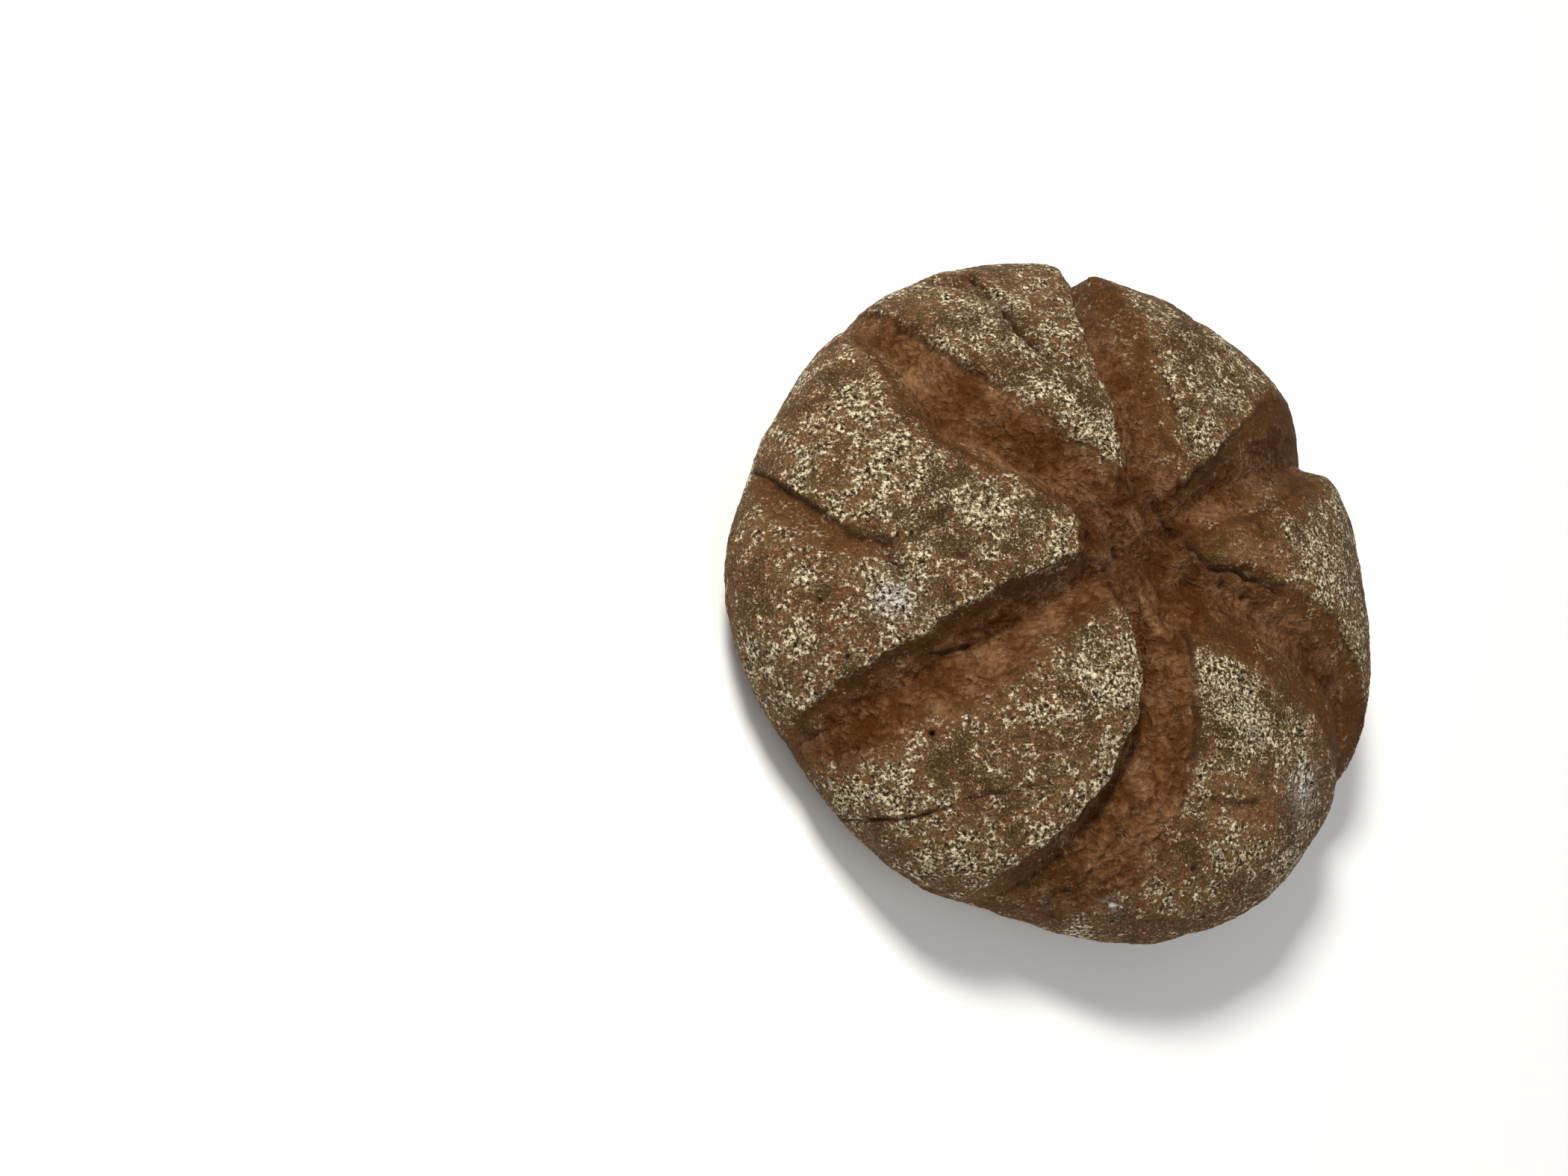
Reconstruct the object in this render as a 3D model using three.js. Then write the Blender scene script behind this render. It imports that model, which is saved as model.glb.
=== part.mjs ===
// Sourdough loaf: a round hearth loaf, slashed into six lobes that burst open in the oven.
// Millimetres, +Z up, origin at the middle of the flat underside.
//
// The crust is one closed skin.  A plain dome is drawn first, then every point of it is pushed
// inward by the height of the relief at that point: six opened cuts, the torn hollow where they
// meet, a shallow side slash, and creases.  Places on the skin are given as [a, b], the walking
// distance from the crown towards +X and towards +Y.
import * as THREE from 'three';

// ---- the dome ----
const RADIUS = 115;        // mean radius at the widest level
const CROWN = 77;          // height of the dome before it is cut
const WIDEST = 25;         // level of the widest plan
const TUCK = 20;           // how far the underside draws in below the widest level
const FULLNESS = 2.25;     // 2 is an ellipse, more is fuller at the shoulder
// How the plan differs from a circle: [bearing in degrees, radius]
const OUTLINE = [
  [0, 116], [16, 118], [31, 117], [45, 121], [62, 119], [80, 119], [100, 118], [118, 117],
  [128, 117], [140, 116], [160, 116], [185, 123], [205, 119], [222, 119], [238, 120], [255, 116],
  [278, 121], [296, 123], [314, 120], [325, 119], [345, 118],
];

// ---- the opened cuts, walking outward from the crown ----
// path: [a, b, reach to the left, reach to the right, depth below the dome]
// Each side then has, as [near the crown, at the rim]:
// drop: how far the crust has rolled down by the time it meets the cut
// wall: how square the side is; under 1 is a crevice with a shelf, 1 a ramp, 3 a steep wall
// roll: how far back the crust rolls over, the same all the way
const CUTS = {
  northWest: {
    path: [[-2, 3, 9, 12, 13], [-15, 14, 9, 16, 14], [-30, 25, 10, 17, 14], [-44, 33, 12, 19, 13.5],
      [-57, 41, 13, 20, 13], [-67, 54, 11, 17, 12.5], [-76, 72, 8, 11, 10.5], [-86, 92, 7, 9, 6.5],
      [-96, 114, 5, 6, 1]],
    left: { drop: [5, 5], wall: [1.4, 1.4], roll: 9 },
    right: { drop: [5, 6], wall: [1.2, 1], roll: 13 },
  },
  north: {
    path: [[18, 8, 10, 8, 13], [13, 22, 11, 9, 14], [9, 36, 11, 9, 15.5], [6, 50, 9, 10, 17],
      [3, 64, 8, 14, 17.5], [1, 79, 8, 15, 18], [2, 95, 8, 14, 19], [5, 112, 7, 11, 20],
      [8, 126, 6, 9, 20], [10, 140, 6, 8, 13], [12, 156, 4, 4, 0]],
    left: { drop: [5, 3], wall: [1.5, 1.2], roll: 8 },
    right: { drop: [5, 3], wall: [1.1, 1.3], roll: 9 },
  },
  east: {
    path: [[12, 6, 8, 8, 13], [28, 18, 9, 12, 13.5], [42, 27, 12, 17, 13], [56, 34, 17, 15, 12],
      [72, 41, 22, 12, 11], [88, 48, 23, 10, 11], [102, 55, 22, 9, 11], [118, 62, 18, 8, 8],
      [134, 70, 10, 6, 0]],
    left: { drop: [4, 0.5], wall: [1.4, 0.75], roll: 7 },
    right: { drop: [5, 2.5], wall: [1.5, 1.5], roll: 12 },
  },
  southEast: {
    path: [[4, -4, 9, 16, 13], [20, -9, 9, 20, 13], [36, -13, 11, 19, 12.5], [52, -18, 12, 19, 11.5],
      [68, -25, 14, 20, 11], [84, -36, 15, 19, 10.5], [97, -52, 15, 16, 10], [105, -72, 12, 12, 8],
      [110, -90, 7, 7, 3]],
    left: { drop: [3.5, 2.5], wall: [1.3, 1.1], roll: 12 },
    right: { drop: [4.5, 4.5], wall: [1.3, 1.3], roll: 10 },
  },
  south: {
    path: [[2, -10, 12, 12, 12], [3, -25, 15, 9, 13], [4, -40, 15, 6, 13], [3, -55, 16, 6, 13],
      [-2, -70, 20, 8, 12.5], [-8, -82, 22, 8, 11], [-16, -95, 23, 9, 9], [-27, -108, 24, 11, 7.5],
      [-40, -121, 20, 11, 5.5], [-54, -136, 10, 7, 2]],
    left: { drop: [2.5, 3], wall: [0.7, 0.9], roll: 8 },
    right: { drop: [5.5, 4], wall: [1.7, 1.4], roll: 14 },
  },
  southWest: {
    path: [[2, -2, 8, 8, 13], [-14, -11, 9, 9, 14], [-30, -21, 11, 11, 15], [-46, -30, 13, 12, 15],
      [-64, -41, 16, 12, 14.5], [-82, -51, 16, 12, 13], [-100, -62, 14, 11, 10],
      [-118, -72, 11, 9, 6], [-134, -81, 6, 5, 0]],
    left: { drop: [4.5, 4.5], wall: [1.2, 1.2], roll: 9 },
    right: { drop: [5, 5], wall: [1.4, 1.4], roll: 13 },
  },
};

// The torn hollow where the cuts meet: rounds that run into each other, [a, b, radius]
const TORN = [[1, -1, 22], [10, 12, 19], [11, -14, 18]];
const TORN_DEPTH = 12.5;   // below the dome
const TORN_DROP = 5;       // how far the lobes' tips have rolled down at its edge
const TORN_ROLL = 9;       // how far back they roll over
// A shallow slash that only half opened, on the big western lobe
const SIDE_SLASH = {
  path: [[-79, -5, 2, 1, 1], [-89, -4, 5, 3, 4], [-100, 3, 7, 4, 6], [-112, 13, 8, 4, 6.5],
    [-126, 25, 7, 4, 5.5], [-142, 38, 3, 3, 0]],
  left: { drop: [1.5, 1.5], wall: [1.1, 1.1], roll: 9 },
  right: { drop: [2.5, 2.5], wall: [1.6, 1.6], roll: 10 },
};
// Creases in the crust: [depth, half width, then the points they run through]
const CREASES = [
  [3.0, 6, [-56, 110], [-44, 104], [-34, 86], [-18, 62]],
  [1.5, 6, [-107, -103], [-87, -93], [-66, -86], [-48, -81]],
  [3.0, 6, [-80, -3], [-78, -17]],
  [3.5, 6, [31, -135], [45, -128], [66, -112]],
  [3.0, 5, [55, 104], [47, 84]],
];

// ---- the mesh ----
const CELLS = 68;          // cells along each side of the skin's grid
const DOME_STEPS = 900;    // steps used to measure distance down the side of the dome
const BLEND = 1.6;         // how softly one cut runs into the next
const FOOT_MARGIN = 14;    // the relief fades out over this distance before the underside
const SOFTEN = 2.2;        // the relief is averaged over a patch of twice this size each way
const CRUST_COLOUR = 0x7a5f45;

const lerp = (from, to, t) => from + (to - from) * t;
const clamp = (x, low, high) => Math.min(high, Math.max(low, x));
const smooth = (x) => { const t = clamp(x, 0, 1); return t * t * (3 - 2 * t); };

// A smooth curve value between p1 and p2
function curve(p0, p1, p2, p3, t) {
  return 0.5 * (2 * p1 + (p2 - p0) * t + (2 * p0 - 5 * p1 + 4 * p2 - p3) * t * t
    + (3 * p1 - p0 - 3 * p2 + p3) * t * t * t);
}

// Plan radius at a bearing in radians
function outlineRadius(bearing) {
  const degrees = ((bearing * 180 / Math.PI) % 360 + 360) % 360;
  const count = OUTLINE.length;
  let i = count - 1;
  while (OUTLINE[i][0] > degrees) i -= 1;
  const [start, here] = OUTLINE[i];
  const end = i + 1 < count ? OUTLINE[i + 1][0] : OUTLINE[0][0] + 360;
  const at = (k) => OUTLINE[(k + count) % count][1];
  return curve(at(i - 1), here, at(i + 1), at(i + 2), (degrees - start) / (end - start));
}

// The dome's side view as a list of [radius, height], crown to foot
function sideView() {
  const points = [];
  for (let i = 0; i <= DOME_STEPS; i += 1) {
    const turn = (i / DOME_STEPS) * Math.PI / 2;
    points.push([RADIUS * Math.sin(turn) ** (2 / FULLNESS),
      WIDEST + (CROWN - WIDEST) * Math.cos(turn) ** (2 / FULLNESS)]);
  }
  for (let i = 1; i <= DOME_STEPS / 3; i += 1) {
    const turn = (i / (DOME_STEPS / 3)) * Math.PI / 2;
    points.push([RADIUS - TUCK + TUCK * Math.cos(turn), WIDEST - WIDEST * Math.sin(turn)]);
  }
  return points;
}

// The same, with the distance walked from the crown
const SIDE = sideView().map(([radius, height]) => ({ radius, height, walked: 0 }));
SIDE.forEach((step, i) => {
  if (i === 0) return;
  const last = SIDE[i - 1];
  step.walked = last.walked + Math.hypot(step.radius - last.radius, step.height - last.height);
});
const SKIN_LENGTH = SIDE[SIDE.length - 1].walked;

// The point of the dome at a walking distance, and the way it faces
function domeAt(walked) {
  let low = 0;
  let high = SIDE.length - 1;
  while (high - low > 1) {
    const middle = (low + high) >> 1;
    if (SIDE[middle].walked <= walked) low = middle; else high = middle;
  }
  const from = SIDE[low];
  const to = SIDE[high];
  const t = clamp((walked - from.walked) / (to.walked - from.walked), 0, 1);
  const before = SIDE[Math.max(low - 3, 0)];
  const after = SIDE[Math.min(high + 3, SIDE.length - 1)];
  const run = after.radius - before.radius;
  const fall = before.height - after.height;
  const length = Math.hypot(run, fall);
  return {
    radius: lerp(from.radius, to.radius, t),
    height: lerp(from.height, to.height, t),
    outward: fall / length,
    upward: run / length,
  };
}

// A path's points joined by a smooth curve, every value carried along
function smoothPath(path, step = 3) {
  const last = path.length - 1;
  const mirrored = (from, over) => from.map((x, k) => 2 * x - over[k]);
  const at = (i) => (i < 0 ? mirrored(path[0], path[1])
    : i > last ? mirrored(path[last], path[last - 1]) : path[i]);
  const points = [];
  for (let i = 0; i < last; i += 1) {
    const span = Math.hypot(path[i + 1][0] - path[i][0], path[i + 1][1] - path[i][1]);
    const pieces = Math.max(1, Math.ceil(span / step));
    for (let j = 0; j < pieces; j += 1) {
      points.push(path[i].map((x, k) => curve(at(i - 1)[k], x, at(i + 1)[k], at(i + 2)[k], j / pieces)));
    }
  }
  points.push(path[last]);
  return points;
}

// The nearest place on a line: how far, which side, and the values carried there
function nearest(a, b, line) {
  let best = { distance: Infinity };
  for (let i = 0; i + 1 < line.length; i += 1) {
    const [a0, b0] = line[i];
    const da = line[i + 1][0] - a0;
    const db = line[i + 1][1] - b0;
    const t = clamp(((a - a0) * da + (b - b0) * db) / (da * da + db * db), 0, 1);
    const distance = Math.hypot(a - a0 - t * da, b - b0 - t * db);
    if (distance < best.distance) {
      best = { distance, left: da * (b - b0) - db * (a - a0) >= 0, from: line[i], to: line[i + 1], t };
    }
  }
  return best;
}

// Height of the skin beside and inside one cut
function cutHeight(a, b, cut) {
  const near = nearest(a, b, cut.line);
  const side = near.left ? cut.left : cut.right;
  const value = (k) => lerp(near.from[k], near.to[k], near.t);
  const reach = Math.max(value(near.left ? 2 : 3), 0.5);
  const depth = Math.max(value(4), 0);
  const outward = value(5);
  const drop = Math.min(lerp(...side.drop, outward), depth / 2);
  const across = near.distance / reach;
  if (across < 1) return -(drop + (depth - drop) * (1 - across ** lerp(...side.wall, outward)));
  return -drop * Math.exp(-(near.distance - reach) / side.roll);
}

// The lowest of several heights, with the joins between them softened
function softLowest(heights) {
  const lowest = Math.min(...heights);
  return lowest - BLEND * Math.log(heights.reduce((sum, h) => sum + Math.exp((lowest - h) / BLEND), 0));
}

// A cut with its path as a line, whose last value is the share of the way walked
function withLine(cut) {
  const points = smoothPath(cut.path);
  let walked = 0;
  const distances = points.map(([a, b], i) => {
    if (i > 0) walked += Math.hypot(a - points[i - 1][0], b - points[i - 1][1]);
    return walked;
  });
  return { ...cut, line: points.map((point, i) => [...point, distances[i] / walked]) };
}

const cuts = Object.values(CUTS).map(withLine);
const sideSlash = withLine(SIDE_SLASH);
const creases = CREASES.map(([depth, halfWidth, ...path]) => (
  { depth, halfWidth, line: smoothPath(path) }
));

// Height of the skin in and around one round of the torn hollow
function tornHeight(a, b, [middleA, middleB, radius]) {
  const across = Math.hypot(a - middleA, b - middleB) / radius;
  if (across < 1) return -(TORN_DROP + (TORN_DEPTH - TORN_DROP) * (1 - across ** 2));
  return -TORN_DROP * Math.exp(((1 - across) * radius) / TORN_ROLL);
}

// How far the skin lies above (+) or below (-) the plain dome
function relief(a, b) {
  const heights = [
    ...cuts.map((cut) => cutHeight(a, b, cut)),
    ...TORN.map((round) => tornHeight(a, b, round)),
  ];
  let height = Math.min(softLowest(heights), 0);
  height += cutHeight(a, b, sideSlash);
  for (const { depth, halfWidth, line } of creases) {
    height -= depth * Math.exp(-((nearest(a, b, line).distance / halfWidth) ** 2));
  }
  return height;
}

// The relief averaged over a small patch, so that steep walls stay clean on the grid
function softRelief(a, b) {
  const offsets = [-SOFTEN, 0, SOFTEN];
  const heights = offsets.flatMap((da) => offsets.map((db) => relief(a + da, b + db)));
  return heights.reduce((sum, height) => sum + height, 0) / heights.length;
}

// A point of the crust
function crustPoint(a, b) {
  const walked = Math.hypot(a, b);
  const bearing = Math.atan2(b, a);
  const dome = domeAt(walked);
  const swell = 1 + (outlineRadius(bearing) / RADIUS - 1) * (dome.radius / RADIUS) ** 2;
  const height = softRelief(a, b) * smooth((SKIN_LENGTH - walked) / FOOT_MARGIN);
  const plan = dome.radius * swell + dome.outward * height;
  return [plan * Math.cos(bearing), plan * Math.sin(bearing), dome.height + dome.upward * height];
}

// A square grid bent into a disc, so that cells stay much the same size all over the skin
function squareToDisc(u, v) {
  if (u === 0 && v === 0) return [0, 0];
  const [radius, bearing] = Math.abs(u) >= Math.abs(v)
    ? [u, (Math.PI / 4) * (v / u)]
    : [v, Math.PI / 2 - (Math.PI / 4) * (u / v)];
  return [radius * Math.cos(bearing), radius * Math.sin(bearing)];
}

function loafGeometry() {
  const side = CELLS + 1;
  const positions = [];
  for (let i = 0; i < side; i += 1) {
    for (let j = 0; j < side; j += 1) {
      const [x, y] = squareToDisc((2 * i) / CELLS - 1, (2 * j) / CELLS - 1);
      positions.push(...crustPoint(x * SKIN_LENGTH, y * SKIN_LENGTH));
    }
  }
  const triangles = [];
  const at = (i, j) => i * side + j;
  const apart = (p, q) => Math.hypot(...[0, 1, 2].map((k) => positions[3 * p + k] - positions[3 * q + k]));
  for (let i = 0; i < CELLS; i += 1) {
    for (let j = 0; j < CELLS; j += 1) {
      const [p, q, r, s] = [at(i, j), at(i + 1, j), at(i + 1, j + 1), at(i, j + 1)];
      // the shorter diagonal follows the form better
      if (apart(p, r) <= apart(q, s)) triangles.push(p, q, r, p, r, s);
      else triangles.push(p, q, s, q, r, s);
    }
  }
  // the flat underside: a fan from the origin round the edge of the skin
  const rim = [];
  for (let i = 0; i < CELLS; i += 1) rim.push(at(i, 0));
  for (let j = 0; j < CELLS; j += 1) rim.push(at(CELLS, j));
  for (let i = CELLS; i > 0; i -= 1) rim.push(at(i, CELLS));
  for (let j = CELLS; j > 0; j -= 1) rim.push(at(0, j));
  rim.forEach((index) => { positions[3 * index + 2] = 0; });
  const middle = positions.length / 3;
  positions.push(0, 0, 0);
  rim.forEach((index, k) => triangles.push(middle, rim[(k + 1) % rim.length], index));

  const geometry = new THREE.BufferGeometry();
  geometry.setAttribute('position', new THREE.Float32BufferAttribute(positions, 3));
  geometry.setIndex(triangles);
  // the row's origin is under the middle of the plan
  geometry.computeBoundingBox();
  const { min, max } = geometry.boundingBox;
  geometry.translate(-(min.x + max.x) / 2, -(min.y + max.y) / 2, 0);
  geometry.computeVertexNormals();
  return geometry;
}

const crust = new THREE.MeshStandardMaterial({ color: CRUST_COLOUR, roughness: 0.85, metalness: 0 });
crust.name = 'crust';
const loaf = new THREE.Mesh(loafGeometry(), crust);
loaf.name = 'loaf';

const group = new THREE.Group();
group.name = 'sourdough_loaf';
group.add(loaf);

export default group;
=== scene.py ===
"""Sourdough loaf: six floured lobes round six torn-open slashes.

The crust is one skin.  Places on it are (a, b): the distance walked from the crown towards +X
and towards +Y, in millimetres.  The skin is a plain dome pushed in and out by the relief: the
slashes, the torn hollow where they meet, creases, pits, wrinkles and the coarse torn crumb.
"""
import math
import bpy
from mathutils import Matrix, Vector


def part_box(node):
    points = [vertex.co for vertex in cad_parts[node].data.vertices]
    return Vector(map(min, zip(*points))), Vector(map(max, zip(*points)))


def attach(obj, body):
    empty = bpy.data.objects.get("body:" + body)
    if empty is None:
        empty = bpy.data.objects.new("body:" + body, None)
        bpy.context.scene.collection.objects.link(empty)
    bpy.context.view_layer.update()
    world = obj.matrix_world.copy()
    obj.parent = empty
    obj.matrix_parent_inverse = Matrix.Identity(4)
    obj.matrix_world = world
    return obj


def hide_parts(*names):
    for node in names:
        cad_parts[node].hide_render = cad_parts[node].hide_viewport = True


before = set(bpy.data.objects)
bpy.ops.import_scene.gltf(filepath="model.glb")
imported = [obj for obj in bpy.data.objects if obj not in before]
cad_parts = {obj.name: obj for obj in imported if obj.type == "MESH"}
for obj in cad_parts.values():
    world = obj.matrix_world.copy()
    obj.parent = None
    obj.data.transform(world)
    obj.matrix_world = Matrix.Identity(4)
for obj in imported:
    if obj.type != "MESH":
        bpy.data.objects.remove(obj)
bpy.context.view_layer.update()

from types import SimpleNamespace

import bpy
import numpy as np
from mathutils import Matrix, Vector

loaf_low, loaf_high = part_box("loaf")
MM = 0.001

# ---- the dome, in millimetres ----
RADIUS = 115.0             # mean radius at the widest level
CROWN = 77.0               # height of the dome before it is cut
WIDEST = 25.0              # level of the widest plan
TUCK = 20.0                # how far the underside draws in below the widest level
FULLNESS = 2.25            # 2 is an ellipse, more is fuller at the shoulder
FOOT_MARGIN = 14.0         # the relief fades out over this distance before the underside
# How the plan differs from a circle: (bearing in degrees, radius)
OUTLINE = [
    (0, 116), (16, 118), (31, 117), (45, 121), (62, 119), (80, 119), (100, 118), (118, 117),
    (128, 117), (140, 116), (160, 116), (185, 123), (205, 119), (222, 119), (238, 120), (255, 116),
    (278, 121), (296, 123), (314, 120), (325, 119), (345, 118),
]

# ---- the opened cuts, walking outward from the crown ----
# path: (a, b, reach to the left, reach to the right, depth below the dome)
# Each side then has, as (near the crown, at the rim) or one number for both:
# drop: how far the crust has rolled down by the time it meets the cut
# wall: how square the side is; under 1 is a crevice with a shelf, 1 a ramp, 3 a steep wall
# roll: how far back the crust rolls over
# lip: how sharply the crust breaks off at the edge, 0 to 1
# crack: how deep the crevice is under that edge
# blur: the width over which flour gives way to crumb
# inside, outside: the width of smooth bare crust on either side of the edge
# coarse: how rough the torn crumb is
CUTS = {
    "north_west": dict(
        path=[(-2, 3, 9, 12, 13), (-15, 14, 9, 16, 14), (-30, 25, 10, 17, 14), (-44, 33, 12, 19, 13.5),
              (-57, 41, 13, 20, 13), (-67, 54, 11, 17, 12.5), (-76, 72, 8, 11, 10.5),
              (-86, 92, 7, 9, 6.5), (-96, 114, 5, 6, 1)],
        coarse=(0.7, 0.4),
        left=dict(drop=5, wall=1.4, roll=9, lip=0.3, blur=2.5, inside=(3, 5), outside=2),
        right=dict(drop=(5, 6), wall=(1.2, 1.0), roll=13, lip=(0.4, 1), crack=(0, 1.2), blur=(4, 1.2))),
    "north": dict(
        path=[(18, 8, 10, 8, 13), (13, 22, 11, 9, 14), (9, 36, 11, 9, 15.5), (6, 50, 9, 10, 17),
              (3, 64, 8, 14, 17.5), (1, 79, 8, 15, 18), (2, 95, 8, 14, 19), (5, 112, 7, 11, 20),
              (8, 126, 6, 9, 20), (10, 140, 6, 8, 13), (12, 156, 4, 4, 0)],
        coarse=(0.6, 0.1),
        left=dict(drop=(5, 3), wall=(2.2, 1.2), roll=8, lip=(0.9, 0.3), crack=(1.2, 0), blur=1.5,
                  inside=(0, 5)),
        right=dict(drop=(5, 3), wall=(1.1, 1.3), roll=9, blur=(2, 3), inside=(0, 9), outside=(2, 5))),
    "east": dict(
        path=[(12, 6, 8, 8, 13), (28, 18, 9, 12, 13.5), (42, 27, 12, 17, 13), (56, 34, 17, 15, 12),
              (72, 41, 22, 12, 11), (88, 48, 23, 10, 11), (102, 55, 22, 9, 11),
              (118, 62, 18, 8, 8), (134, 70, 10, 6, 0)],
        coarse=(0.45, 0.05),
        left=dict(drop=(4, 0.5), wall=(1.4, 0.75), roll=7, lip=(1.0, 0), crack=(0.5, 0),
                  blur=(1.2, 3), inside=(2, 14), outside=(0, 4)),
        right=dict(drop=(5, 2.5), wall=1.5, roll=12, lip=0.1, blur=4, inside=(4, 8), outside=(6, 1))),
    "south_east": dict(
        path=[(4, -4, 9, 16, 13), (20, -9, 9, 20, 13), (36, -13, 11, 19, 12.5), (52, -18, 12, 19, 11.5),
              (68, -25, 14, 20, 11), (84, -36, 15, 19, 10.5), (97, -52, 15, 16, 10),
              (105, -72, 12, 12, 8), (110, -90, 7, 7, 3)],
        coarse=(0.6, 0.1),
        left=dict(drop=(3.5, 2.5), wall=(1.3, 1.1), roll=12, lip=(0.6, 0.4), crack=(1.0, 0),
                  blur=(1.5, 2.5), inside=(0, 14)),
        right=dict(drop=4.5, wall=1.3, roll=10, lip=0.2, blur=1.5, inside=(7, 16), outside=(3, 1))),
    "south": dict(
        path=[(2, -10, 12, 12, 12), (3, -25, 15, 9, 13), (4, -40, 15, 6, 13), (3, -55, 16, 6, 13),
              (-2, -70, 20, 8, 12.5), (-8, -82, 22, 8, 11), (-16, -95, 23, 9, 9),
              (-27, -108, 24, 11, 7.5), (-40, -121, 20, 11, 5.5), (-54, -136, 10, 7, 2)],
        coarse=0.8,
        left=dict(drop=(2.5, 3), wall=(0.4, 0.9), roll=8, lip=(1.4, 0), crack=(1.2, 0), blur=(0.8, 7)),
        right=dict(drop=(5.5, 4), wall=(2.6, 1.5), roll=14, lip=(1, 0.8), crack=(1.5, 0), blur=1.2,
                   inside=(0, 7))),
    "south_west": dict(
        path=[(2, -2, 8, 8, 13), (-14, -11, 9, 9, 14), (-30, -21, 11, 11, 15), (-46, -30, 13, 12, 15),
              (-64, -41, 16, 12, 14.5), (-82, -51, 16, 12, 13), (-100, -62, 14, 11, 10),
              (-118, -72, 11, 9, 6), (-134, -81, 6, 5, 0)],
        coarse=(0.6, 0.8),
        left=dict(drop=4.5, wall=1.2, roll=9, lip=0.2, blur=(2, 4), outside=1),
        right=dict(drop=5, wall=1.4, roll=13, lip=0.9, blur=1.3, inside=5)),
}
PLAIN_SIDE = dict(drop=6, wall=1.5, roll=10, lip=0, crack=0, blur=2, inside=0, outside=0)
BLEND = 1.6                # how softly one cut runs into the next

# The torn hollow where the cuts meet: rounds that run into each other, as (a, b, radius)
TORN = [(1, -1, 22), (10, 12, 19), (11, -14, 18)]
TORN_DROP = 5.0
TORN_DEPTH = 12.5
TORN_ROLL = 9.0
CRACKS_START = 14.0        # the crevices under the lips start this far from the crown
CRACKS_OVER = 8.0          # and are fully open this much further out
# Holes torn deeper: (a, b, radius, depth)
HOLES = [
    (24, 24, 5, 2.0), (19, 8, 3.5, 1.6), (-6, -7, 3.5, 2.0), (-3, -1, 2.5, 1.5), (-7, -13, 2.5, 1.5),
    (45, -12, 2, 1.2), (57, -20, 2.5, 1.2), (36, -9, 2, 1.0), (-15, 2, 2.5, 1.0),
    (-20, -117, 2.6, 1.2), (-26, -123, 2.2, 1.0),
]
# A shallow slash that only half opened, on the big western lobe
SIDE_SLASH = dict(
    path=[(-79, -5, 2, 1, 1), (-89, -4, 5, 3, 4), (-100, 3, 7, 4, 6), (-112, 13, 8, 4, 6.5),
          (-126, 25, 7, 4, 5.5), (-142, 38, 3, 3, 0)],
    coarse=0, left=dict(drop=1.5, wall=1.1, roll=9), right=dict(drop=2.5, wall=2.2, roll=10))

# Creases and cracks: depth, half width, then the places that they run through
CREASES = [
    (3.0, 4.6, [(-56, 110), (-44, 104), (-36, 92), (-32, 80), (-24, 68), (-12, 58)]),
    (2.6, 0.9, [(-41, 110), (-36, 97), (-33, 87), (-32, 78), (-27, 71), (-20, 64)]),
    (1.1, 0.7, [(-112, -104), (-100, -100), (-90, -94), (-79, -91), (-66, -86), (-55, -82), (-43, -80),
                (-32, -77)]),
    (0.9, 0.7, [(-139, 40), (-126, 29), (-114, 18), (-102, 8), (-93, 0), (-84, -3)]),
    (2.4, 2.6, [(-84, -3), (-80, -10), (-76, -22)]),
    (1.2, 1.6, [(-91, 1), (-84, -4), (-74, -2), (-66, 4), (-58, 8)]),
    (1.6, 1.0, [(-66, -18), (-64, -23), (-62, -28)]),
    (3.2, 3.2, [(31, -135), (41, -129), (55, -121), (66, -112)]),
    (2.2, 2.4, [(55, 106), (50, 94), (47, 84)]),
    (1.6, 0.8, [(20, 70), (21, 59), (22, 50), (25, 42), (25, 34)]),
    (1.7, 0.8, [(13, 22), (16, 16), (20, 9), (23, 2), (28, -3), (37, -5), (49, -7), (60, -11)]),
    (0.8, 0.8, [(44, 12), (54, 18), (66, 26), (76, 33)]),
    (1.2, 1.0, [(22, -78), (32, -80), (44, -78)]),
    (0.9, 0.8, [(-26, -19), (-39, -27), (-54, -34), (-70, -40)]),
]
# Small pits and burst bubbles: (a, b, radius, depth)
PITS = [
    (-70, -64, 1.1, 2.4), (62, -56, 1.4, 2.5), (-25, -105, 1.1, 1.2), (63, -98, 1.3, 2.2),
    (66, -72, 1.2, 2.0), (-74, 62, 1.1, 2.0), (44, 62, 1.6, 1.6), (52, 70, 1.8, 1.3),
    (50, 12, 1.6, 1.0), (35, -42, 1.6, 1.6), (39, -45, 1.3, 1.4), (-96, -40, 1.1, 1.6),
    (-14, -108, 1.0, 1.0), (-60, -9, 1.7, 1.6), (-56, 9, 1.0, 1.2), (-88, 34, 0.9, 1.4),
    (-20, 96, 1.0, 1.4), (-102, -22, 0.9, 1.4), (20, -100, 1.0, 1.6),
]
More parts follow.
